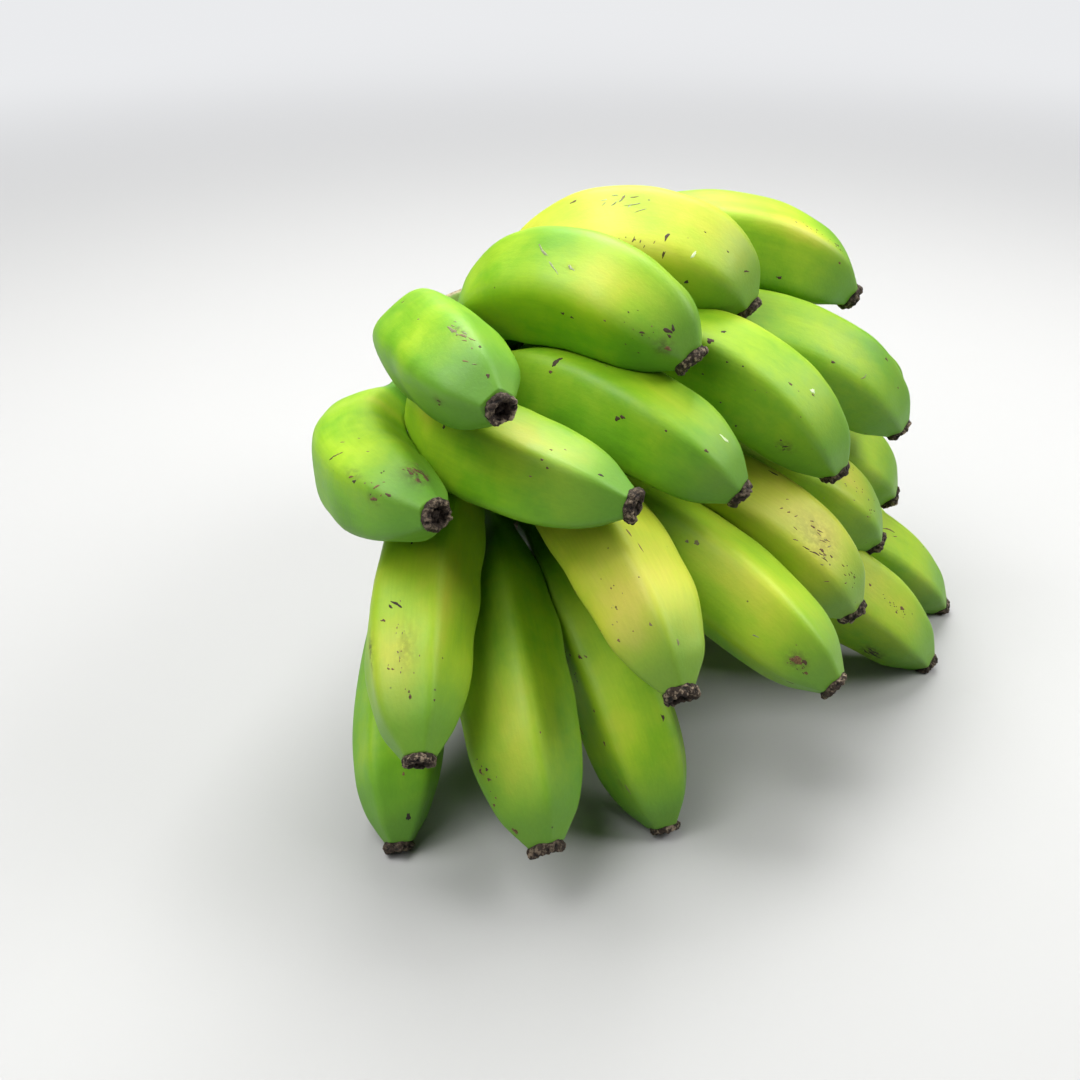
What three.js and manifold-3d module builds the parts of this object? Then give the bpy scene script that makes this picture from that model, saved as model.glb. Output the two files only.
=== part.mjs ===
// A bunch of green bananas, cut from the plant with a short length of its stalk.
// Two hands grow from crowns on the stalk. Each hand has two ranks of bananas, one over the other,
// that fan out round the stalk, arch and droop. The bunch rests on the tips of its lowest bananas.
// Millimetres, +Z up, -Y to the bunch's front and +X to its right, origin at the middle of its foot.

import * as THREE from "three";
import { mergeVertices } from "three/addons/utils/BufferGeometryUtils.js";
import Module from "manifold-3d";

const wasm = await Module();
wasm.setup();

// Driving dimensions
const GIRTH = 41; // thickness of a full banana across its belly
const GAP = 0.3; // clearance between neighbours that press on each other
const RIDGES = 5; // a banana's blunt edges, one for each seam of its skin
const RIDGE_RISE = 0.035; // how far a ridge stands out, as a share of the radius
const SIDES = 2 * RIDGES;
const CROWN = { radius: 31, halfHeight: 25 };
const ROOT_DEPTH = 5; // how deep a banana's neck sits in its crown
const STALK = { foot: [-3, 54, 68], top: [-48, 102, 152], radius: 24, sides: 20, rows: 14 };

// The straight banana's outline: share of its length from the crown, and share of half its girth.
const OUTLINE = [
  [0, 0.4],
  [0.07, 0.39],
  [0.14, 0.46],
  [0.22, 0.63],
  [0.32, 0.82],
  [0.44, 0.96],
  [0.57, 1.0],
  [0.7, 0.99],
  [0.81, 0.92],
  [0.89, 0.78],
  [0.945, 0.6],
  [0.975, 0.44],
  [1, 0.3],
];

// Each hand's crown and its ranks, with heights from the surface the bunch rests on. A banana leaves its
// crown at compass angle root (degrees, 0 along +X, -90 towards -Y) and ends at tip. It curves through
// bend degrees. lean turns its back away from straight up: seen from the crown, to the right.
// girth is its thickness where that isn't GIRTH.
const HANDS = [
  {
    name: "upper",
    crown: [-32, 80, 142],
    ranks: [
      {
        name: "top",
        rise: 14,
        bananas: [
          { root: -125, tip: [-14, -82, 187], bend: 50, lean: 48 },
          { root: -98, tip: [57, -18, 179], bend: 100, lean: 4, girth: 45 },
          { root: -62, tip: [85, 38, 179], bend: 120, lean: -2, girth: 47 },
          { root: -28, tip: [139, 82, 169], bend: 92, lean: -8, girth: 42 },
          { root: 14, tip: [98, 152, 134], bend: 55, lean: 0, girth: 39 },
          { root: 58, tip: [22, 204, 124], bend: 55, lean: 0, girth: 39 },
        ],
      },
      {
        name: "under",
        rise: -14,
        bananas: [
          { root: -160, tip: [-37, -86, 148], bend: 72, lean: 95, girth: 40 },
          { root: -125, tip: [32, -73, 145], bend: 76, lean: 72, girth: 39 },
          { root: -90, tip: [76, -38, 132], bend: 86, lean: 27 },
          { root: -62, tip: [123, 5, 120], bend: 114, lean: 8, girth: 43 },
          { root: -38, tip: [163, 60, 114], bend: 98, lean: 12 },
          { root: -14, tip: [176, 110, 106], bend: 60, lean: 5 },
          { root: 12, tip: [140, 160, 78], bend: 50, lean: 0, girth: 39 },
          { root: 42, tip: [68, 200, 68], bend: 50, lean: 0, girth: 39 },
        ],
      },
    ],
  },
  {
    name: "lower",
    crown: [-10, 56, 100],
    ranks: [
      {
        name: "top",
        rise: 9,
        bananas: [
          { root: -130, tip: [-43, -123, 70], bend: 48, lean: 30, girth: 39 },
          { root: -100, tip: [50, -105, 86], bend: 55, lean: -8, girth: 39 },
          { root: -74, tip: [115, -69, 63], bend: 32, lean: 10 },
          { root: -50, tip: [132, -18, 65], bend: 60, lean: 6, girth: 43 },
          { root: -28, tip: [153, 36, 67], bend: 60, lean: 0 },
          { root: -6, tip: [171, 84, 66], bend: 60, lean: 0 },
          { root: 20, tip: [130, 145, 48], bend: 50, lean: 0, girth: 39 },
        ],
      },
      {
        name: "under",
        rise: -12,
        bananas: [
          { root: -150, tip: [-56, -95, 4], bend: 45, lean: 30, girth: 37 },
          { root: -120, tip: [2, -119, 25], bend: 45, lean: 20, girth: 43 },
          { root: -90, tip: [50, -85, 4], bend: 45, lean: 0, girth: 40 },
          { root: -52, tip: [184, 30, 4], bend: 50, lean: 0 },
          { root: -26, tip: [204, 80, 4], bend: 50, lean: 0, girth: 39 },
          { root: 0, tip: [188, 126, 8], bend: 50, lean: 0, girth: 39 },
          { root: 26, tip: [108, 146, 3], bend: 40, lean: 0, girth: 39 },
          { root: 60, tip: [18, 176, 3], bend: 40, lean: 0, girth: 39 },
        ],
      },
    ],
  },
];

const UP = new THREE.Vector3(0, 0, 1);

// The line down the middle of a banana: an arc of a circle from root to tip.
class Spine extends THREE.Curve {
  constructor(root, tip, bend, lean) {
    super();
    const chord = new THREE.Vector3().subVectors(tip, root);
    this.half = THREE.MathUtils.degToRad(bend) / 2;
    this.radius = chord.length() / 2 / Math.sin(this.half);
    this.along = chord.clone().normalize();
    // back: square to the chord, pointing up, then turned about the chord by lean
    this.back = UP.clone().addScaledVector(this.along, -UP.dot(this.along)).normalize();
    this.back.applyAxisAngle(this.along, THREE.MathUtils.degToRad(lean));
    this.side = new THREE.Vector3().crossVectors(this.back, this.along);
    this.middle = root.clone().add(tip).multiplyScalar(0.5);
    this.middle.addScaledVector(this.back, -this.radius * Math.cos(this.half));
  }

  // The outward direction at share t of the way along
  outward(t) {
    const angle = this.half * (2 * t - 1);
    return this.back.clone().multiplyScalar(Math.cos(angle)).addScaledVector(this.along, Math.sin(angle));
  }

  getPoint(t) {
    return this.outward(t).multiplyScalar(this.radius).add(this.middle);
  }
}

// A straight banana turned on a lathe, given its ridges, then bent along its spine.
function bananaGeometry(spine, girth, grow = 0) {
  const outline = OUTLINE.map(([share, wide]) => new THREE.Vector2((wide * girth) / 2 + grow, share));
  const ends = [new THREE.Vector2(0, 0), ...outline, new THREE.Vector2(0, 1)];
  const straight = new THREE.LatheGeometry(ends, SIDES);
  const place = straight.getAttribute("position");
  const point = new THREE.Vector3();
  for (let i = 0; i < place.count; i++) {
    point.fromBufferAttribute(place, i);
    const angle = Math.atan2(point.z, point.x);
    const ridged = Math.hypot(point.x, point.z) * (1 + RIDGE_RISE * Math.cos(RIDGES * angle));
    const spot = spine.getPoint(point.y);
    spot.addScaledVector(spine.outward(point.y), ridged * Math.cos(angle));
    spot.addScaledVector(spine.side, ridged * Math.sin(angle));
    place.setXYZ(i, spot.x, spot.y, spot.z);
  }
  return straight;
}

// How far a ray from a point inside or beside a crown goes before it leaves the crown, or 0 if it misses
function reachOfCrown(crown, start, direction) {
  const { radius, halfHeight } = CROWN;
  const squash = new THREE.Vector3(1 / radius, 1 / radius, 1 / halfHeight);
  const q = start.clone().sub(new THREE.Vector3(...crown)).multiply(squash);
  const d = direction.clone().multiply(squash);
  const inside = q.dot(d) ** 2 - d.lengthSq() * (q.lengthSq() - 1);
  return inside > 0 ? Math.max(0, (-q.dot(d) + Math.sqrt(inside)) / d.lengthSq()) : 0;
}

// The stalk: a rod cut square at both ends, swollen into a cushion where each hand's necks grow out.
function stalkGeometry() {
  const foot = new THREE.Vector3(...STALK.foot);
  const axis = new THREE.Vector3(...STALK.top).sub(foot);
  const outline = [[0, 0], [0.9, 0], [1, 0.03]];
  for (let i = 1; i < STALK.rows; i++) outline.push([1, 0.03 + (0.94 * i) / STALK.rows]);
  outline.push([1, 0.97], [0.9, 1], [0, 1]);
  const profile = outline.map(([wide, share]) => new THREE.Vector2(wide, share));
  const rod = new THREE.LatheGeometry(profile, STALK.sides);
  const latheAxis = new THREE.Vector3(0, 1, 0);
  const turn = new THREE.Quaternion().setFromUnitVectors(latheAxis, axis.clone().normalize());
  const place = rod.getAttribute("position");
  const point = new THREE.Vector3();
  for (let i = 0; i < place.count; i++) {
    point.fromBufferAttribute(place, i);
    const start = foot.clone().addScaledVector(axis, point.y);
    const wide = Math.hypot(point.x, point.z);
    if (wide > 1e-6) {
      const outward = new THREE.Vector3(point.x / wide, 0, point.z / wide).applyQuaternion(turn);
      const reaches = HANDS.map((hand) => reachOfCrown(hand.crown, start, outward));
      const blend = [STALK.radius, ...reaches].reduce((sum, reach) => sum + reach ** 6, 0) ** (1 / 6);
      start.addScaledVector(outward, wide * blend);
    }
    place.setXYZ(i, start.x, start.y, start.z);
  }
  return rod;
}

// Closed geometry as a manifold-3d solid
function solidOf(geometry) {
  const plain = geometry.clone().deleteAttribute("normal").deleteAttribute("uv");
  const merged = mergeVertices(plain, 1e-3);
  return new wasm.Manifold(
    new wasm.Mesh({
      numProp: 3,
      vertProperties: merged.getAttribute("position").array,
      triVerts: new Uint32Array(merged.index.array),
    }),
  );
}

// The biggest piece of a cut solid: a cut can leave crumbs behind
function biggest(solid) {
  return solid.decompose().reduce((a, b) => (b.volume() > a.volume() ? b : a));
}

function meshOf(name, solid, material) {
  const { vertProperties, triVerts } = solid.getMesh();
  const geometry = new THREE.BufferGeometry();
  geometry.setAttribute("position", new THREE.BufferAttribute(vertProperties, 3));
  geometry.setIndex(new THREE.BufferAttribute(triVerts, 1));
  geometry.computeVertexNormals();
  const mesh = new THREE.Mesh(geometry, material);
  mesh.name = name;
  return mesh;
}

// Where a banana's neck starts: a little way inside the side of its crown.
function rootOf(hand, rank, angle) {
  const turn = THREE.MathUtils.degToRad(angle);
  const reach = CROWN.radius - ROOT_DEPTH;
  const [x, y, z] = hand.crown;
  return new THREE.Vector3(x + reach * Math.cos(turn), y + reach * Math.sin(turn), z + rank.rise);
}

// Every banana, each one giving way to those before it
const bananas = [];
for (const hand of HANDS) {
  for (const rank of hand.ranks) {
    rank.bananas.forEach(({ root, tip, bend, lean, girth = GIRTH }, i) => {
      const spine = new Spine(rootOf(hand, rank, root), new THREE.Vector3(...tip), bend, lean);
      let solid = solidOf(bananaGeometry(spine, girth));
      for (const other of bananas) solid = solid.subtract(other.room);
      bananas.push({
        name: `${hand.name}_hand_${rank.name}_banana_${i + 1}`,
        spine,
        solid: biggest(solid),
        room: solidOf(bananaGeometry(spine, girth, GAP)),
      });
    });
  }
}

// The stalk, with a socket for each neck
let stalk = solidOf(stalkGeometry());
for (const banana of bananas) stalk = stalk.subtract(banana.room);

const bunch = new THREE.Group();
for (const { name, solid } of bananas) {
  const skin = new THREE.MeshStandardMaterial({ color: 0x8fbe2e, roughness: 0.45, metalness: 0 });
  bunch.add(meshOf(name, solid, skin));
}
const bark = new THREE.MeshStandardMaterial({ color: 0x6f8a3a, roughness: 0.6, metalness: 0 });
bunch.add(meshOf("stalk", biggest(stalk), bark));

// The origin goes to the middle of the foot.
const box = new THREE.Box3().setFromObject(bunch);
const centre = box.getCenter(new THREE.Vector3());
for (const mesh of bunch.children) mesh.geometry.translate(-centre.x, -centre.y, -box.min.z);

export default bunch;
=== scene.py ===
import math

import bpy
import numpy as np
from mathutils import Euler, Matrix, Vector


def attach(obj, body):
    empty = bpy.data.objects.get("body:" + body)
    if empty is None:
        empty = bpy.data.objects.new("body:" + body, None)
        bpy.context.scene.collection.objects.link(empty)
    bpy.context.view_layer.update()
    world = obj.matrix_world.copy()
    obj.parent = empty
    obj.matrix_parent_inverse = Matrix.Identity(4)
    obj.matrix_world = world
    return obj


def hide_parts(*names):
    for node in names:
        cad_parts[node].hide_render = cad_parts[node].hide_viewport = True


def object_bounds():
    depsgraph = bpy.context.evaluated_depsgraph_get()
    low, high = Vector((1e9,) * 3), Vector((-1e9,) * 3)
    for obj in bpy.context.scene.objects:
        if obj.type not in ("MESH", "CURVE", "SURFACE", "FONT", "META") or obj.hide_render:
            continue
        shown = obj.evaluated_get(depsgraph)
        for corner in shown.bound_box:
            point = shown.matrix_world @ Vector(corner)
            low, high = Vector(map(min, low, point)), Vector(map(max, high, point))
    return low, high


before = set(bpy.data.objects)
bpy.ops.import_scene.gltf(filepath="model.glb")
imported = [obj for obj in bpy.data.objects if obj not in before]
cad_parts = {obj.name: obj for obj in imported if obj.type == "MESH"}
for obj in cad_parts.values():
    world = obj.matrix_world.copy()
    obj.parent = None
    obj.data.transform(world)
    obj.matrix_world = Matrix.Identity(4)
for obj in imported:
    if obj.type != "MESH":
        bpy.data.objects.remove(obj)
cad_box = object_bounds()
MM = 0.001


# ---------------------------------------------------------------- Middle lines
# A banana is a straight taper that has bent as it grew, from its neck in the crown to its blossom end.
# The line down its middle is an arc of a circle. Each arc is measured from the banana's solid in the frame.

# Share of the length from the neck, and half-width there as a share of half the girth
TAPER = np.array(
    [
        (0.0, 0.4),
        (0.07, 0.39),
        (0.14, 0.46),
        (0.22, 0.63),
        (0.32, 0.82),
        (0.44, 0.96),
        (0.57, 1.0),
        (0.7, 0.99),
        (0.81, 0.92),
        (0.89, 0.78),
        (0.945, 0.6),
        (0.975, 0.44),
        (1.0, 0.3),
    ]
)
RIDGES = 5  # a banana's blunt edges, one for each seam of its skin
SOLID_RIDGE_RISE = 0.035  # how far the solid's ridges stand out, as a share of its radius
END_SLICE, BELLY_SLICE = 0.04, 0.15  # the shares of the length whose points say where an end or the belly is
FIRST_GIRTH = 40 * MM  # where the search for each girth starts
FIT_STEPS = 60
EASED, STIFFENED = 0.3, 4  # how the damping changes after a step that helps, and after one that doesn't


def taper(share):
    """Half-width at a share of the length: a smooth cubic through the points of TAPER."""
    xs, ys = TAPER.T
    slopes = np.gradient(ys, xs)
    share = np.clip(share, 0.0, 1.0)
    i = np.clip(np.searchsorted(xs, share, side="right") - 1, 0, len(xs) - 2)
    step = xs[i + 1] - xs[i]
    t = (share - xs[i]) / step
    start = (1 + 2 * t) * (1 - t) ** 2 * ys[i] + t * (1 - t) ** 2 * step * slopes[i]
    end = t**2 * (3 - 2 * t) * ys[i + 1] + t**2 * (t - 1) * step * slopes[i + 1]
    return start + end


class MiddleLine:
    """An arc of a circle from start to end, whose middle stands off the straight line between them by sag.
    girth is the thickness of the banana round it. back points out of the banana's outer curve."""

    def __init__(self, start, end, sag, girth):
        chord = end - start
        span = np.linalg.norm(chord)
        self.along = chord / span
        sag = sag - self.along * (sag @ self.along)
        rise = np.linalg.norm(sag)
        self.back = sag / rise
        self.side = np.cross(self.back, self.along)
        self.radius = (span**2 / 4 + rise**2) / (2 * rise)
        self.half = 2 * math.atan(2 * rise / span)
        self.centre = (start + end) / 2 - self.back * (self.radius - rise)
        self.length = 2 * self.half * self.radius
        self.girth = girth

    def outward(self, share):
        """Unit vector from the arc's centre to the middle line at each share of the length."""
        turn = self.half * (2 * np.asarray(share) - 1)
        return np.cos(turn)[..., None] * self.back + np.sin(turn)[..., None] * self.along

    def place(self, share, angle, reach):
        """The points at those shares of the length, angles round the line from its back, and distances."""
        outward = self.outward(share)
        off, across = reach * np.cos(angle), reach * np.sin(angle)
        return self.centre + (self.radius + off)[..., None] * outward + across[..., None] * self.side

    def locate(self, points):
        """The share, angle and distance of each point: the inverse of place."""
        arm = points - self.centre
        forward, out = arm @ self.along, arm @ self.back
        share = np.arctan2(forward, out) / (2 * self.half) + 0.5
        off, across = np.hypot(forward, out) - self.radius, arm @ self.side
        return share, np.arctan2(across, off), np.hypot(off, across)


def node_points(node):
    """A node's vertices as an array of points."""
    points = np.zeros(len(node.data.vertices) * 3)
    node.data.vertices.foreach_get("co", points)
    return np.unique(points.reshape(-1, 3).round(6), axis=0)


def measured_line(node, crown):
    """The arc and girth whose tapered, ridged tube fits a node's points best, by damped least squares.
    Points in the dents that neighbours press into it count for less the further off they are."""
    points = node_points(node)
    middle = points.mean(0)
    axis = np.linalg.svd(points - middle, full_matrices=False)[2][0]
    along = (points - middle) @ axis
    low, high = along.min(), along.max()
    near_end = END_SLICE * (high - low)
    ends = [points[along < low + near_end].mean(0), points[along > high - near_end].mean(0)]
    start, end = sorted(ends, key=lambda spot: np.linalg.norm(spot - crown))
    belly = points[abs(along - (low + high) / 2) < BELLY_SLICE * (high - low)].mean(0)
    numbers = np.concatenate([start, end, belly - (start + end) / 2, [FIRST_GIRTH]])

    def misfit(numbers):
        line = MiddleLine(numbers[0:3], numbers[3:6], numbers[6:9], numbers[9])
        share, angle, reach = line.locate(points)
        ridged = 1 + SOLID_RIDGE_RISE * np.cos(RIDGES * angle)
        return reach - taper(share) * ridged * line.girth / 2

    def cost(wrong):
        return np.log1p((wrong / trusted) ** 2).sum()

    trusted, nudge, damping = 1.0 * MM, 0.01 * MM, 1e-2
    wrong = misfit(numbers)
    for _ in range(FIT_STEPS):
        weight = 1 / (1 + (wrong / trusted) ** 2)
        slope = np.stack([(misfit(numbers + nudge * unit) - wrong) / nudge for unit in np.eye(10)], axis=1)
        pull = slope.T @ (slope * weight[:, None])
        step = np.linalg.solve(pull + damping * np.diag(np.diag(pull) + 1e-9), slope.T @ (wrong * weight))
        tried = misfit(numbers - step)
        if cost(tried) < cost(wrong):
            numbers, wrong, damping = numbers - step, tried, damping * EASED
        else:
            damping *= STIFFENED
    return MiddleLine(numbers[0:3], numbers[3:6], numbers[6:9], numbers[9])


stalk_middle = node_points(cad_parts["stalk"]).mean(0)
HANDS = ("upper_hand_top", "upper_hand_under", "lower_hand_top", "lower_hand_under")
banana_names = [name for hand in HANDS for name in sorted(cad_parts) if name.startswith(hand)]
lines = {name: measured_line(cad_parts[name], stalk_middle) for name in banana_names}


# ---------------------------------------------------------------- Banana skins
# The skin is a tough, waxy leather of lengthwise fibres. It grew in five strips, which meet in blunt ridges.
# Fruit packed tight in the hand presses flats into its neighbours. It is cut unripe, green going on yellow.
RINGS, ROUND = 112, 72
FACE_SHARPNESS = 11.0  # 2 would be a circle, a high number a sharp pentagon
# Bananas that filled out more, with rounder edges
ROUNDER = {"upper_hand_top_banana_1": 5.0, "upper_hand_under_banana_1": 6.0, "upper_hand_top_banana_2": 7.0}
MEAN_PENTAGON = 1.055  # the mean width of such a pentagon, where its strips lie at 1
END_SHARPNESS = 3.0  # how much sharper the ridges are at the neck and at the blossom end
ROLL_AT = 0.75  # the share of the length where the ridges stand as their roll says
CREST_TO_STRIP = 0.42  # how much less a direction leans to the next strip, from a crest to a strip's middle
FACE_SPREAD = 0.09  # radians a strip may be turned from its even place
FACE_UNEVEN = 0.022  # how unequally far out the five strips lie
LUMP = 0.28 * MM
RING_CROWDING = 1.25  # above 1, the rings lie closer together towards the blossom end
PAINTED_TOP_LIGHT, PAINTED_UNDER_SHADE = 0.08, 0.08  # painted light and shade: how much yellower the skin facing up is painted, where the lights fall, and how much greener the skin facing down, where shade falls
TABLE_GAP = 0.05 * MM  # a tip that stands on the table is flattened this far above it
PRESS_SOFT = 0.9 * MM  # rounding at the rim of a pressed flat
PRESS_GAP = 0.35 * MM
PRESS_REACH = 0.62  # how far from a middle line, as a share of its girth, a neighbour is felt
FRONT_GIVES = 0.35  # the share of a squeeze that the outer banana takes, its neighbour the rest
# Where along a banana these come in, or fade out again, as shares of the length from the neck
SHARP_NECK, SHARP_END = (0.05, 0.4), (0.7, 0.97)
NECK_STAYS, NECK_PRESSES, END_PRESSES = (0.06, 0.18), (0.05, 0.15), (0.97, 1.0)
LUMPS_IN, LUMPS_OUT = (0.1, 0.3), (0.9, 0.98)
PALE_IN, PALE_OUT = (0.1, 0.4), (0.76, 0.92)
COOLER_END = (0.78, 0.97)
PAINTED_LIGHT_FALL, PAINTED_SHADE_FALL = (-0.5, 0.8), (-0.7, 0.1)  # from facing down, -1, to facing up, 1
RIPE_WAVES = 0.045
NECK_GREENER = 0.32
LOWER_HAND_GREEN_AND_SHADE, IN_THE_OPEN = 0.5, 0.3  # how far along from the neck a banana of the lower hand, and of the upper, is greener: the neck's own green, reaching further on the lower hand as painted shade under the upper hand
PALE_NARROW, PALE_SHARE = 6, 0.10  # how narrow and how strong the pale line on a ridge is
END_SHARE = 0.8
PATTERN_APART = 0.5  # metres between the patterns of two bananas, so that no two look alike

# Each banana's own looks: the roll of its ridges in degrees, how far they twist on the way to the end,
# how ripe it is from 0, green, to 1, yellow, and patches that are riper, or greener where minus:
# (share of length, degrees round from the back, half-length, half-width in degrees, how much).
LOOKS = {
    "upper_hand_top_banana_1": (45, 0, 0.21, [(0.72, 20, 0.12, 40, 0.14), (0.92, 10, 0.05, 40, -0.15)]),
    "upper_hand_top_banana_2": (
        -3,
        0,
        0.30,
        [(0.74, -38, 0.13, 34, 0.36), (0.35, -120, 0.15, 40, 0.16), (0.55, -20, 0.10, 25, -0.12)],
    ),
    "upper_hand_top_banana_3": (
        4,
        0,
        0.50,
        [(0.66, -74, 0.09, 18, 0.40), (0.42, -45, 0.16, 40, 0.30), (0.75, -20, 0.12, 20, 0.20)],
    ),
    "upper_hand_top_banana_4": (20, 0, 0.34, [(0.76, -48, 0.16, 13, 0.36), (0.62, -10, 0.10, 20, 0.15)]),
    "upper_hand_top_banana_5": (5, 0, 0.35, []),
    "upper_hand_top_banana_6": (0, 0, 0.30, []),
    "upper_hand_under_banana_1": (35, 0, 0.25, [(0.78, 65, 0.10, 35, 0.22), (0.40, 130, 0.12, 60, 0.20)]),
    "upper_hand_under_banana_2": (
        28,
        0,
        0.30,
        [(0.76, 55, 0.13, 26, 0.36), (0.50, 40, 0.06, 45, 0.32), (0.62, 20, 0.08, 14, -0.15)],
    ),
    "upper_hand_under_banana_3": (-13, -40, 0.24, [(0.76, 18, 0.10, 20, 0.22), (0.45, 50, 0.12, 18, 0.22)]),
    "upper_hand_under_banana_4": (22, -80, 0.30, [(0.66, 45, 0.10, 25, 0.25), (0.55, -20, 0.06, 20, 0.18)]),
    "upper_hand_under_banana_5": (10, -40, 0.27, [(0.72, -25, 0.10, 16, 0.16)]),
    "upper_hand_under_banana_6": (-20, 0, 0.30, [(0.75, -10, 0.12, 25, 0.15)]),
    "upper_hand_under_banana_7": (0, 0, 0.30, []),
    "upper_hand_under_banana_8": (20, 0, 0.30, []),
    "lower_hand_top_banana_1": (60, 0, 0.42, [(0.82, 10, 0.10, 30, 0.30), (0.70, 66, 0.10, 12, 0.20)]),
    "lower_hand_top_banana_2": (-25, 0, 0.62, [(0.78, -55, 0.12, 40, 0.26), (0.87, -70, 0.04, 25, 0.22)]),
    "lower_hand_top_banana_3": (-10, 0, 0.42, [(0.72, -25, 0.12, 26, 0.24), (0.45, -60, 0.10, 40, -0.2)]),
    "lower_hand_top_banana_4": (24, 0, 0.62, [(0.76, -15, 0.10, 30, 0.24)]),
    "lower_hand_top_banana_5": (15, 0, 0.42, [(0.78, -20, 0.12, 35, 0.25)]),
    "lower_hand_top_banana_6": (0, 0, 0.42, []),
    "lower_hand_top_banana_7": (30, 0, 0.30, []),
    "lower_hand_under_banana_1": (10, 0, 0.20, []),
    "lower_hand_under_banana_2": (25, 0, 0.28, [(0.76, 5, 0.12, 32, 0.26), (0.86, -15, 0.06, 25, 0.12)]),
    "lower_hand_under_banana_3": (22, 0, 0.30, [(0.72, -38, 0.14, 22, 0.22), (0.58, -80, 0.12, 25, 0.14)]),
    "lower_hand_under_banana_4": (-8, 0, 0.40, [(0.80, -40, 0.14, 35, 0.22)]),
    "lower_hand_under_banana_5": (0, 0, 0.42, []),
    "lower_hand_under_banana_6": (25, 0, 0.35, []),
    "lower_hand_under_banana_7": (40, 0, 0.30, []),
    "lower_hand_under_banana_8": (10, 0, 0.30, []),
}

# Soft grey-brown smudges, rubbed as the fruit was carried:
# (share, degrees, half-length, half-width, strength)
SMUDGES = {
    "upper_hand_top_banana_1": [(0.85, 40, 0.03, 5, 0.75), (0.91, -46, 0.015, 6, 0.6)],
    "upper_hand_top_banana_2": [(0.945, -68, 0.02, 14, 0.7), (0.64, -45, 0.015, 3, 0.5)],
    "upper_hand_under_banana_1": [
        (0.94, 100, 0.03, 22, 0.8),
        (0.84, 42, 0.03, 6, 0.5),
        (0.91, 25, 0.015, 7, 0.7),
    ],
    "upper_hand_under_banana_4": [(0.855, -98, 0.02, 9, 0.8)],
    "lower_hand_top_banana_1": [(0.79, -22, 0.035, 6, 1.0), (0.80, 25, 0.05, 12, 0.35)],
    "lower_hand_top_banana_3": [(0.905, -52, 0.022, 11, 1.0)],
    "lower_hand_top_banana_4": [(0.78, -20, 0.07, 25, 0.35)],
    "lower_hand_under_banana_3": [(0.52, -75, 0.03, 14, 0.5), (0.86, -70, 0.02, 6, 0.4)],
    "lower_hand_under_banana_4": [(0.86, -135, 0.03, 14, 1.0)],
}


def smooth_step(value, low, high):
    """0 below low, 1 above high, and between them the S-curve 3t^2 - 2t^3."""
    t = np.clip((value - low) / (high - low), 0, 1)
    return t * t * (3 - 2 * t)


def waves(random, share, angle, count, most_round):
    """A gentle unevenness: the mean of a few sines, each with its own turns round and along, and phase."""
    total = np.zeros(np.broadcast(share, angle).shape)
    for _ in range(count):
        turns, hills = random.integers(0, most_round + 1), random.uniform(1.0, 7.0)
        total = total + np.sin(turns * angle + 2 * np.pi * hills * share + random.uniform(0, 2 * np.pi))
    return total / math.sqrt(count)


class Skin:
    """The outer surface of one banana round its middle line, as a distance at each share and angle."""

    def __init__(self, number, line, roll, twist, sharpness):
        random = np.random.default_rng(40 + number)
        self.line, self.number, self.sharpness = line, number, sharpness
        self.twist = math.radians(twist)
        turned = random.uniform(-FACE_SPREAD, FACE_SPREAD, RIDGES)
        self.faces = math.radians(roll) + (np.arange(RIDGES) + 0.5) * 2 * np.pi / RIDGES + turned
        self.far = 1 + random.uniform(-FACE_UNEVEN, FACE_UNEVEN, RIDGES)

    def lean(self, share, angle):
        """How far a direction leans to each strip: the cosine between them, less for a strip further out."""
        return np.cos(angle[..., None] - self.faces - self.twist * (share[..., None] - ROLL_AT)) / self.far

    def pentagon(self, share, angle):
        """A rounded pentagon: the p-norm of how far a direction leans to each strip, to the power -1/p."""
        sharpness = self.sharpness + END_SHARPNESS * (1 - smooth_step(share, *SHARP_NECK))
        sharpness = sharpness + END_SHARPNESS * smooth_step(share, *SHARP_END)
        lean = np.clip(self.lean(share, angle), 0, None)
        return (lean ** sharpness[..., None]).sum(-1) ** (-1 / sharpness)

    def reach(self, share, angle):
        """The taper, times the pentagon brought back to the same mean width."""
        return taper(share) * self.line.girth / 2 * self.pentagon(share, angle) / MEAN_PENTAGON

    def ridge(self, share, angle):
        """1 on the crest of a ridge, falling to 0 in the middle of a strip."""
        lean = np.sort(self.lean(share, angle), axis=-1)
        return np.clip(1 - (lean[..., -1] - lean[..., -2]) / CREST_TO_STRIP, 0, 1)


def squeezed(points, share, skin, others):
    """Where a point lies inside a neighbour, it moves straight away from that one's middle line, by this
    banana's part of the depth. The rim of the flat is rounded by a parabola, and the neck stays as grown."""
    moved = points.copy()
    free = smooth_step(share, *NECK_STAYS)
    for other in others:
        if other is skin:
            continue
        where, angle, distance = other.line.locate(points)
        inside = (where > 0) & (where < 1) & (distance < PRESS_REACH * other.line.girth)
        if not inside.any():
            continue
        where, angle, distance = where[inside], angle[inside], distance[inside]
        depth = other.reach(where, angle) + PRESS_GAP - distance
        rounded = PRESS_SOFT * np.clip((depth + PRESS_SOFT) / (2 * PRESS_SOFT), 0, 1) ** 2
        depth = np.where(depth > PRESS_SOFT, depth, rounded)
        gives = FRONT_GIVES if skin.number < other.number else 1 - FRONT_GIVES
        gives = gives * free[inside] * (1 - smooth_step(where, *END_PRESSES))
        gives = gives * smooth_step(where, *NECK_PRESSES)
        away = np.cos(angle)[:, None] * other.line.outward(where) + np.sin(angle)[:, None] * other.line.side
        moved[inside] += (depth * gives)[:, None] * away
    return moved


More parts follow.
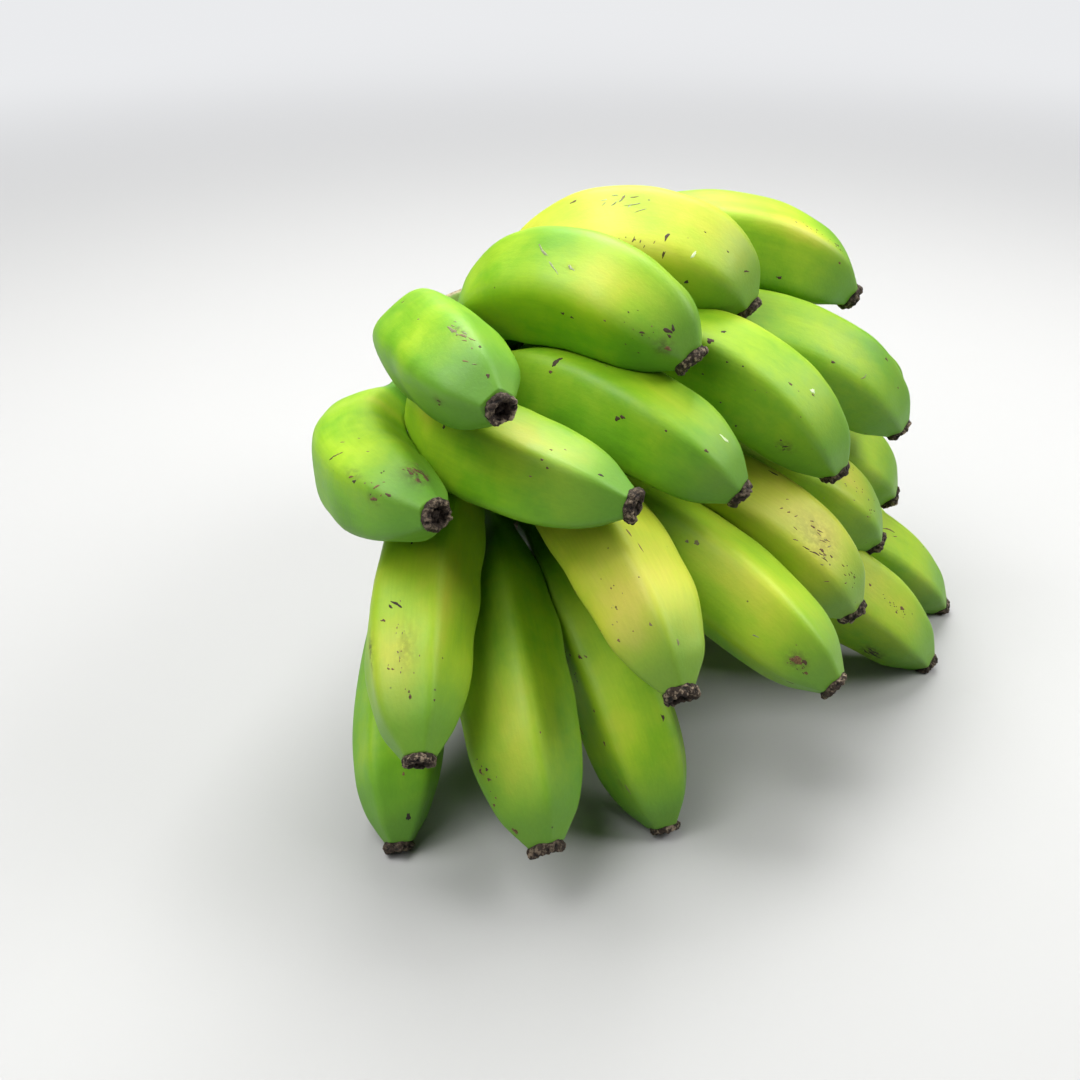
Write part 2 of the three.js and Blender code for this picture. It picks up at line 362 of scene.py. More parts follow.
def tube_faces(rings, columns):
    """The faces of a closed tube: a fan at the first pole, squares between the rings, a fan at the last."""
    column = np.arange(columns)
    after = (column + 1) % columns
    row = 1 + np.arange(rings - 1)[:, None] * columns
    squares = np.stack([row + column, row + columns + column, row + columns + after, row + after], axis=-1)
    last = 1 + (rings - 1) * columns
    first_fan = np.stack([np.zeros(columns, int), 1 + column, 1 + after], axis=-1)
    last_fan = np.stack([np.full(columns, last + columns), last + after, last + column], axis=-1)
    return first_fan.tolist() + squares.reshape(-1, 4).tolist() + last_fan.tolist()


def capped(rings, poles):
    """The points of a closed tube: its first pole, its rings in order, its last pole."""
    return np.concatenate([poles[:1], rings.reshape(-1, 3), poles[1:]])


def new_piece(name, points, faces, material):
    """A smooth mesh object of these points and faces, at the origin, with one material."""
    mesh = bpy.data.meshes.new(name)
    mesh.from_pydata(points.tolist(), [], faces)
    mesh.polygons.foreach_set("use_smooth", np.ones(len(mesh.polygons), bool))
    mesh.materials.append(material)
    mesh.update()
    piece = bpy.data.objects.new(name, mesh)
    bpy.context.scene.collection.objects.link(piece)
    return piece


def set_values(piece, name, values):
    """Keeps one number, or one vector, a vertex as a named attribute that the material reads."""
    kind, field = ("FLOAT", "value") if values.ndim == 1 else ("FLOAT_VECTOR", "vector")
    attribute = piece.data.attributes.new(name, kind, "POINT")
    attribute.data.foreach_set(field, values.astype(np.float32).ravel())


def set_tube_uv(piece, rings, columns):
    """Across the map goes the angle, up it the ring, each from 0 to 1. The seam's last column ends at 1."""
    corner = np.zeros(len(piece.data.loops), int)
    piece.data.loops.foreach_get("vertex_index", corner)
    starts = np.zeros(len(piece.data.polygons), int)
    sizes = np.zeros(len(piece.data.polygons), int)
    piece.data.polygons.foreach_get("loop_start", starts)
    piece.data.polygons.foreach_get("loop_total", sizes)
    face = np.repeat(np.arange(len(starts)), sizes)
    last = 1 + rings * columns
    pole = (corner == 0) | (corner == last)
    column = np.where(pole, 0, (corner - 1) % columns).astype(float)
    ring = np.where(corner == 0, -1, np.where(corner == last, rings, (corner - 1) // columns))
    widest = np.zeros(len(starts))
    np.maximum.at(widest, face, column)
    column = np.where((column == 0) & (widest[face] == columns - 1), columns, column)
    column = np.where(pole, widest[face], column)
    uv = np.stack([column / columns, (ring + 1) / (rings + 1)], axis=-1)
    piece.data.uv_layers.new(name="UVMap").data.foreach_set("uv", uv.astype(np.float32).ravel())


def fill(tree, node, inputs):
    """Sets a node's inputs. Each is a plain value, or the socket that it is linked from."""
    for key, value in inputs.items():
        if isinstance(value, bpy.types.NodeSocket):
            tree.links.new(value, node.inputs[key])
        else:
            node.inputs[key].default_value = value


def new_node(tree, kind, inputs=None, **settings):
    """Adds a shader node with these settings and inputs."""
    node = tree.nodes.new(kind)
    for key, value in settings.items():
        setattr(node, key, value)
    fill(tree, node, inputs or {})
    return node


def arithmetic(tree, operation, *numbers):
    """One sum on two or three numbers or sockets."""
    return new_node(tree, "ShaderNodeMath", dict(enumerate(numbers)), operation=operation).outputs[0]


def stretched(tree, position, by):
    """A position with each of its three axes multiplied by its own number."""
    return new_node(tree, "ShaderNodeVectorMath", {0: position, 1: by}, operation="MULTIPLY").outputs[0]


def ranged(tree, value, low, high, to_low=0.0, to_high=1.0, curve="LINEAR"):
    """Takes low to high onto to_low to to_high, and holds the ends beyond."""
    ends = {"Value": value, "From Min": low, "From Max": high, "To Min": to_low, "To Max": to_high}
    return new_node(tree, "ShaderNodeMapRange", ends, interpolation_type=curve).outputs["Result"]


def new_group(name, inputs, output):
    """An empty node group with these named inputs, as (name, socket type), and one value output."""
    tree = bpy.data.node_groups.new(name, "ShaderNodeTree")
    for label, kind in inputs:
        tree.interface.new_socket(name=label, in_out="INPUT", socket_type=kind)
    tree.interface.new_socket(name=output, in_out="OUTPUT", socket_type="NodeSocketFloat")
    return tree, tree.nodes.new("NodeGroupInput").outputs, tree.nodes.new("NodeGroupOutput").inputs


def use_group(tree, group, inputs):
    """Places a node group in a material with its own values, and gives back its output."""
    return new_node(tree, "ShaderNodeGroup", inputs, node_tree=group).outputs[0]


# Mottle: cloudy noise between two levels, as a mask from 0 to 1
mottle, given, result = new_group(
    "mottle",
    [
        ("Position", "NodeSocketVector"),
        ("Scale", "NodeSocketFloat"),
        ("Detail", "NodeSocketFloat"),
        ("Low", "NodeSocketFloat"),
        ("High", "NodeSocketFloat"),
    ],
    "Mask",
)
cloud = new_node(
    mottle,
    "ShaderNodeTexNoise",
    {"Vector": given["Position"], "Scale": given["Scale"], "Detail": given["Detail"], "Roughness": 0.6},
)
level = ranged(mottle, cloud.outputs["Fac"], given["Low"], given["High"], curve="SMOOTHSTEP")
mottle.links.new(level, result["Mask"])

# Fibres: noise drawn out along the fruit, so that it reads as fine lengthwise strands
fibres, given, result = new_group(
    "fibres", [("Position", "NodeSocketVector"), ("Scale", "NodeSocketFloat")], "Height"
)
drawn_out = stretched(fibres, given["Position"], (1.0, 1.0, 0.05))
strands = new_node(
    fibres,
    "ShaderNodeTexNoise",
    {"Vector": drawn_out, "Scale": given["Scale"], "Detail": 3.0, "Roughness": 0.55},
)
fibres.links.new(strands.outputs["Fac"], result["Height"])

# Specks: small round spots, one to a cell, in only some of the cells
specks, given, result = new_group(
    "specks",
    [
        ("Position", "NodeSocketVector"),
        ("Scale", "NodeSocketFloat"),
        ("Size", "NodeSocketFloat"),
        ("Rarity", "NodeSocketFloat"),
    ],
    "Mask",
)
cells = new_node(specks, "ShaderNodeTexVoronoi", {"Vector": given["Position"], "Scale": given["Scale"]})
chance = new_node(specks, "ShaderNodeSeparateColor", {"Color": cells.outputs["Color"]})
chosen = arithmetic(specks, "GREATER_THAN", chance.outputs["Red"], given["Rarity"])
own_size = arithmetic(specks, "MULTIPLY", chance.outputs["Green"], given["Size"])
spot = ranged(specks, cells.outputs["Distance"], own_size, given["Size"], 1.0, 0.0)
specks.links.new(arithmetic(specks, "MULTIPLY", spot, chosen), result["Mask"])


def new_material(name):
    """An empty node material, with its Principled shader already joined to the output."""
    material = bpy.data.materials.new(name)
    material.use_nodes = True
    tree = material.node_tree
    tree.nodes.clear()
    surface = tree.nodes.new("ShaderNodeBsdfPrincipled")
    output = tree.nodes.new("ShaderNodeOutputMaterial")
    tree.links.new(surface.outputs["BSDF"], output.inputs["Surface"])
    return material, tree, surface


def attribute(tree, name, output="Fac"):
    """Reads one of the piece's own vertex attributes."""
    return new_node(tree, "ShaderNodeAttribute", attribute_name=name).outputs[output]


def mixed(tree, share, first, second, blend="MIX"):
    """Mixes two colours, or lays the second over the first, by a share from 0 to 1."""
    colours = {0: share, 6: first, 7: second}
    return new_node(tree, "ShaderNodeMix", colours, data_type="RGBA", blend_type=blend).outputs[2]


def clouds(tree, position, scale, detail, low, high):
    """A mottle mask at a position."""
    values = {"Position": position, "Scale": scale, "Detail": detail, "Low": low, "High": high}
    return use_group(tree, mottle, values)


def toned(tree, tone, stops):
    """The colour for a tone from 0 to 1, blended between stops, each a tone and its colour."""
    ramp = new_node(tree, "ShaderNodeValToRGB", {"Fac": tone})
    marks = ramp.color_ramp.elements
    marks[0].position, marks[0].color = stops[0]
    marks[1].position, marks[1].color = stops[-1]
    for place, colour in stops[1:-1]:
        marks.new(place).color = colour
    return ramp.outputs["Color"]


def bumped(tree, height, strength, depth):
    """The surface's normal, tipped by a height that is at most depth metres."""
    values = {"Strength": strength, "Distance": depth, "Height": height}
    return new_node(tree, "ShaderNodeBump", values).outputs["Normal"]


# From hard green to the first yellow, by ripeness
RIPENING = (
    (0.0, (0.055, 0.190, 0.002, 1)),
    (0.25, (0.145, 0.360, 0.004, 1)),
    (0.5, (0.310, 0.490, 0.012, 1)),
    (0.75, (0.485, 0.535, 0.034, 1)),
    (1.0, (0.600, 0.535, 0.080, 1)),
)
END_GREEN = (0.100, 0.270, 0.022, 1)
RIDGE_PALE = (0.500, 0.620, 0.140, 1)
SMUDGE_BROWN = (0.065, 0.060, 0.020, 1)
SPECK_BROWN = (0.050, 0.035, 0.012, 1)
SPECK_SHARE = 0.8
CLOUDY, FINELY_CLOUDY, CLOUDY_MEAN = 0.11, 0.08, 0.09  # how far cloudiness moves the ripeness, and its mean
STRAND_TONES = (0.955, 1.03)
SKIN_ROUGHNESS = (0.5, 0.6)


def ripening_skin(name):
    """Skin colour by ripeness, paler on the ridges and cooler at the blossom end, under strands and specks."""
    material, tree, surface = new_material(name)
    straight = attribute(tree, "straight", "Vector")
    cloudy = clouds(tree, stretched(tree, straight, (1.0, 1.0, 0.3)), 70.0, 3.0, 0.3, 0.7)
    small_clouds = clouds(tree, straight, 190.0, 4.0, 0.25, 0.75)
    strand = use_group(tree, fibres, {"Position": straight, "Scale": 1100.0})
    ripe = arithmetic(tree, "MULTIPLY_ADD", cloudy, CLOUDY, attribute(tree, "ripeness"))
    ripe = arithmetic(tree, "MULTIPLY_ADD", small_clouds, FINELY_CLOUDY, ripe)
    ripe = arithmetic(tree, "SUBTRACT", ripe, CLOUDY_MEAN)
    colour = toned(tree, ripe, RIPENING)
    colour = mixed(tree, attribute(tree, "end"), colour, END_GREEN)
    colour = mixed(tree, attribute(tree, "ridge"), colour, RIDGE_PALE)
    colour = mixed(tree, 1.0, colour, ranged(tree, strand, 0.3, 0.7, *STRAND_TONES), "MULTIPLY")
    grime = clouds(tree, straight, 420.0, 5.0, 0.35, 0.6)
    rubbed = arithmetic(tree, "MULTIPLY", attribute(tree, "smudge"), grime)
    colour = mixed(tree, rubbed, colour, SMUDGE_BROWN)
    dots = use_group(tree, specks, {"Position": straight, "Scale": 120.0, "Size": 0.06, "Rarity": 0.72})
    colour = mixed(tree, arithmetic(tree, "MULTIPLY", dots, SPECK_SHARE), colour, SPECK_BROWN)
    waxy = ranged(tree, small_clouds, 0.0, 1.0, *SKIN_ROUGHNESS)
    pores = clouds(tree, straight, 900.0, 2.0, 0.2, 0.8)
    grain = arithmetic(tree, "MULTIPLY_ADD", strand, 0.5, pores)
    looks = {
        "Base Color": colour,
        "Roughness": arithmetic(tree, "MULTIPLY_ADD", rubbed, 0.25, waxy),
        "Coat Weight": 0.05,
        "Coat Roughness": 0.35,
        "Specular IOR Level": 0.4,
        "Normal": bumped(tree, grain, 0.12, 0.0003),
    }
    fill(tree, surface, looks)
    return material


skin_material = ripening_skin("banana_skin")
skins = [
    Skin(number, lines[name], *LOOKS[name][:2], ROUNDER.get(name, FACE_SHARPNESS))
    for number, name in enumerate(banana_names)
]
ring_share = 1 - (1 - np.linspace(0, 1, RINGS)) ** RING_CROWDING
column_angle = np.arange(ROUND) * 2 * np.pi / ROUND
share_grid, angle_grid = np.meshgrid(ring_share, column_angle, indexing="ij")
grids = {}


def soft_patches(share, angle, patches):
    """The sum of soft round patches: each is a strength times exp(-(distance in half-sizes) squared)."""
    total = np.zeros(share.shape)
    for at, degrees, half_length, half_width, strength in patches:
        turn = (angle - math.radians(degrees) + np.pi) % (2 * np.pi) - np.pi
        off = ((share - at) / half_length) ** 2 + (turn / math.radians(half_width)) ** 2
        total += strength * np.exp(-off)
    return total


def on_vertices(values):
    """A grid of values as one value a vertex, with the poles taking their ring's mean."""
    return np.concatenate([[values[0].mean()], values.ravel(), [values[-1].mean()]])


for skin, name in zip(skins, banana_names):
    random = np.random.default_rng(400 + skin.number)
    line = skin.line
    lumps = LUMP * waves(random, share_grid, angle_grid, count=6, most_round=3)
    lumps *= smooth_step(share_grid, *LUMPS_IN)
    lumps *= 1 - smooth_step(share_grid, *LUMPS_OUT)
    reach_grid = skin.reach(share_grid, angle_grid) + lumps
    surface_points = line.place(share_grid, angle_grid, reach_grid).reshape(-1, 3)
    surface_points = squeezed(surface_points, share_grid.ravel(), skin, skins)
    surface_points[:, 2] = np.maximum(surface_points[:, 2], TABLE_GAP)
    grids[name] = surface_points.reshape(RINGS, ROUND, 3)
    poles = line.place(np.array([0.0, 1.0]), np.zeros(2), np.zeros(2))
    points = capped(surface_points, poles)
    piece = new_piece(name + "_skin", points, tube_faces(RINGS, ROUND), skin_material)
    set_tube_uv(piece, RINGS, ROUND)
    ripeness, patches = LOOKS[name][2:]
    ripe = ripeness + soft_patches(share_grid, angle_grid, patches)
    ripe = ripe + RIPE_WAVES * waves(random, share_grid, angle_grid, count=5, most_round=2)
    # The neck's own deeper green; on the lower hand it reaches further along as painted shade under the upper
    # hand
    green_and_shade_reach = LOWER_HAND_GREEN_AND_SHADE if name.startswith("lower_hand") else IN_THE_OPEN
    ripe = ripe - NECK_GREENER * (1 - smooth_step(share_grid, 0.04, green_and_shade_reach))
    # Painted light and shade: skin facing up is painted yellower and skin facing down greener, by its direction
    # in the bunch as it lies
    upward = np.cos(angle_grid) * line.outward(share_grid)[..., 2] + np.sin(angle_grid) * line.side[2]
    ripe = ripe + PAINTED_TOP_LIGHT * smooth_step(upward, *PAINTED_LIGHT_FALL) - PAINTED_UNDER_SHADE * (1 - smooth_step(upward, *PAINTED_SHADE_FALL))
    set_values(piece, "ripeness", on_vertices(np.clip(ripe, 0, 1)))
    crest = skin.ridge(share_grid, angle_grid) ** PALE_NARROW * PALE_SHARE * smooth_step(share_grid, *PALE_IN)
    crest *= 1 - smooth_step(share_grid, *PALE_OUT)
    set_values(piece, "ridge", on_vertices(crest))
    set_values(piece, "end", on_vertices(END_SHARE * smooth_step(share_grid, *COOLER_END)))
    smudge = soft_patches(share_grid, angle_grid, SMUDGES.get(name, []))
    set_values(piece, "smudge", on_vertices(np.clip(smudge, 0, 1)))
    # The same points on a banana unbent, which the skin's patterns lie on
    offset = PATTERN_APART * skin.number
    width = line.girth / 2 * taper(share_grid)
    across, round_it = width * np.cos(angle_grid) + offset, width * np.sin(angle_grid)
    straight = np.stack([across, round_it, share_grid * line.length], axis=-1)
    straight_poles = np.array([(offset, 0, 0), (offset, 0, line.length)])
    set_values(piece, "straight", capped(straight, straight_poles))
    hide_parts(name)
    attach(piece, "root")


# ---------------------------------------------------------------- Blossom ends
# The dried stub that the flower leaves at the tip: dead, crumpled brown tissue with a torn, paler rim
# round a dark hollow. It grew there, and sits in the collar where the skin ends.
STUB_RINGS, STUB_ROUND = 36, 84
# The stub's outline from its root inside the fruit, over the rim, to the hollow: out as a share of the
# collar's radius, and height above the end of the skin in millimetres
STUB_OUTLINE = np.array(
    [
        (0.45, -4.0),
        (0.80, -2.6),
        (0.90, -1.0),
        (0.95, 0.3),
        (0.97, 1.3),
        (0.94, 2.2),
        (0.86, 2.8),
        (0.75, 2.8),
        (0.65, 2.1),
        (0.58, 1.0),
        (0.44, 0.4),
        (0.28, 0.6),
        (0.12, 1.1),
    ]
)
STUB_SIZES = {"upper_hand_top_banana_1": 0.86}  # the blossom ends that dried smaller than most
CREASES, FINE_CREASES = 2.0 * MM, 1.0 * MM  # how far apart the folds of the dried tissue lie
CREASE_DEPTH, FINE_DEPTH = 0.36 * MM, 0.16 * MM
FOLDED_WAVES = 6
STUB_WIDTHS, STUB_HEIGHTS = (0.98, 1.1), (0.85, 1.25)  # from the least to the most of the outline's
RIM_OUT, RIM_UP = (0.55, 0.85), (-0.8, 1.0)  # where the torn, paler rim comes in, outwards and in mm upwards
FINE_SHARE, FOLD_TOPS = 0.7, (-0.2, 1.3)  # what counts as the top of a fold
RAGGED_OUT, RAGGED_UP = 0.05, 0.3 * MM  # how uneven the stub is, as a share of its width, and in height
STUB_TAN = (0.330, 0.255, 0.175, 1)
STUB_BROWN = (0.040, 0.027, 0.019, 1)
# Painted shade: the black of the stub's creases
STUB_CREASE_SHADE = (0.010, 0.008, 0.007, 1)


def dried_stub(name):
    """Brown on the folds, painted black in the creases and the hollow as painted shade, with tan torn fibres on
    the folds of the rim.
    """
    material, tree, surface = new_material(name)
    spot = new_node(tree, "ShaderNodeTexCoord").outputs["Object"]
    patchy = clouds(tree, spot, 480.0, 5.0, 0.46, 0.60)
    fine = clouds(tree, spot, 1500.0, 4.0, 0.3, 0.7)
    fold_light = attribute(tree, "fold_light")
    # Painted shade: black in the creases, brown on the fold tops
    colour = mixed(tree, fold_light, STUB_CREASE_SHADE, STUB_BROWN)
    torn = arithmetic(tree, "MULTIPLY", attribute(tree, "rim"), patchy)
    colour = mixed(tree, arithmetic(tree, "MULTIPLY", torn, fold_light), colour, STUB_TAN)
    normal = bumped(tree, arithmetic(tree, "ADD", patchy, fine), 0.6, 0.0006)
    fill(tree, surface, {"Base Color": colour, "Roughness": 0.8, "Specular IOR Level": 0.3, "Normal": normal})
    return material


def crumpled(random, points, apart):
    """Creases between rounded folds: the mean of folded waves, 2|sin| - 1, that run in random directions."""
    total = np.zeros(points.shape[:-1])
    for _ in range(FOLDED_WAVES):
        heading = random.normal(0, 1, 3)
        heading /= np.linalg.norm(heading) * apart * random.uniform(0.75, 1.6)
        total += 2 * abs(np.sin(np.pi * (points @ heading) + random.uniform(0, np.pi))) - 1
    return total / math.sqrt(FOLDED_WAVES)


stub_material = dried_stub("blossom_end")
for skin, name in zip(skins, banana_names):
    random = np.random.default_rng(800 + skin.number)
    line = skin.line
    along_outline = np.linspace(0, len(STUB_OUTLINE) - 1, STUB_RINGS)
    out = np.interp(along_outline, np.arange(len(STUB_OUTLINE)), STUB_OUTLINE[:, 0])[:, None]
    up = np.interp(along_outline, np.arange(len(STUB_OUTLINE)), STUB_OUTLINE[:, 1])[:, None] * MM
    turn = np.arange(STUB_ROUND) * 2 * np.pi / STUB_ROUND
    rise = smooth_step(up / MM, -1.2, 1.2)  # only what stands out of the skin is uneven
    ragged = 0
    for turns in (1, 2, 3, 5):
        ragged = ragged + random.uniform(0.4, 1.0) * np.sin(turns * turn + random.uniform(0, 2 * np.pi))
    collar = line.girth / 2 * taper(np.array(1.0)) * random.uniform(*STUB_WIDTHS) * STUB_SIZES.get(name, 1.0)
    width = collar * out * (1 + RAGGED_OUT * rise * ragged)
    height = up * random.uniform(*STUB_HEIGHTS) + rise * RAGGED_UP * ragged * out
    centre = line.place(np.array(1.0), np.array(0.0), np.array(0.0))
    outward = line.outward(np.array(1.0))
    forward = np.cross(line.side, outward)
    forward = forward * np.sign(forward @ line.along)
    ring = np.cos(turn)[None, :, None] * outward + np.sin(turn)[None, :, None] * line.side
    offsets = width[..., None] * ring + height[..., None] * forward
    coarse, small = crumpled(random, offsets, CREASES), crumpled(random, offsets, FINE_CREASES)
    wall_out, wall_up = np.gradient(up[:, 0])[:, None, None], -np.gradient(out[:, 0] * collar)[:, None, None]
    push = (wall_out * ring + wall_up * forward) / np.hypot(wall_out, wall_up)
    points = centre + offsets + (rise * (CREASE_DEPTH * coarse + FINE_DEPTH * small))[..., None] * push
    points = capped(points, [points[0].mean(0), points[-1].mean(0)])
    points[:, 2] = np.maximum(points[:, 2], TABLE_GAP)
    piece = new_piece(name + "_blossom_end", points, tube_faces(STUB_RINGS, STUB_ROUND), stub_material)
    set_tube_uv(piece, STUB_RINGS, STUB_ROUND)
    rim = smooth_step(out, *RIM_OUT) * smooth_step(up / MM, *RIM_UP) * np.ones((1, STUB_ROUND))
    rim = rim * (0.45 + 0.55 * smooth_step(np.sin(turn + random.uniform(0, 6)), -0.4, 0.8))
    set_values(piece, "rim", np.concatenate([[0], rim.ravel(), [0]]))
    # Painted shade: 0 in the creases, painted black, up to 1 on the fold tops, brown
    fold_light = smooth_step(coarse + FINE_SHARE * small, *FOLD_TOPS)
    set_values(piece, "fold_light", np.concatenate([[0.5], fold_light.ravel(), [0.5]]))
    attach(piece, "root")


# ---------------------------------------------------------------- Scars
# Small dry scabs where a leaf or a neighbour rubbed the young fruit, and where sap ran. Each is a thin
# crust of dead skin, a little proud of the live skin round it.
SCAR_ROUND = 20
# The crust from under the skin, over its edge, to its middle: out as a share of its half-size, and height
SCAR_OUT = np.array([0.5, 0.98, 1.0, 0.86, 0.5, 0.2])
SCAR_HEIGHT = np.array([-0.30, -0.20, -0.02, 0.07, 0.10, 0.11]) * MM
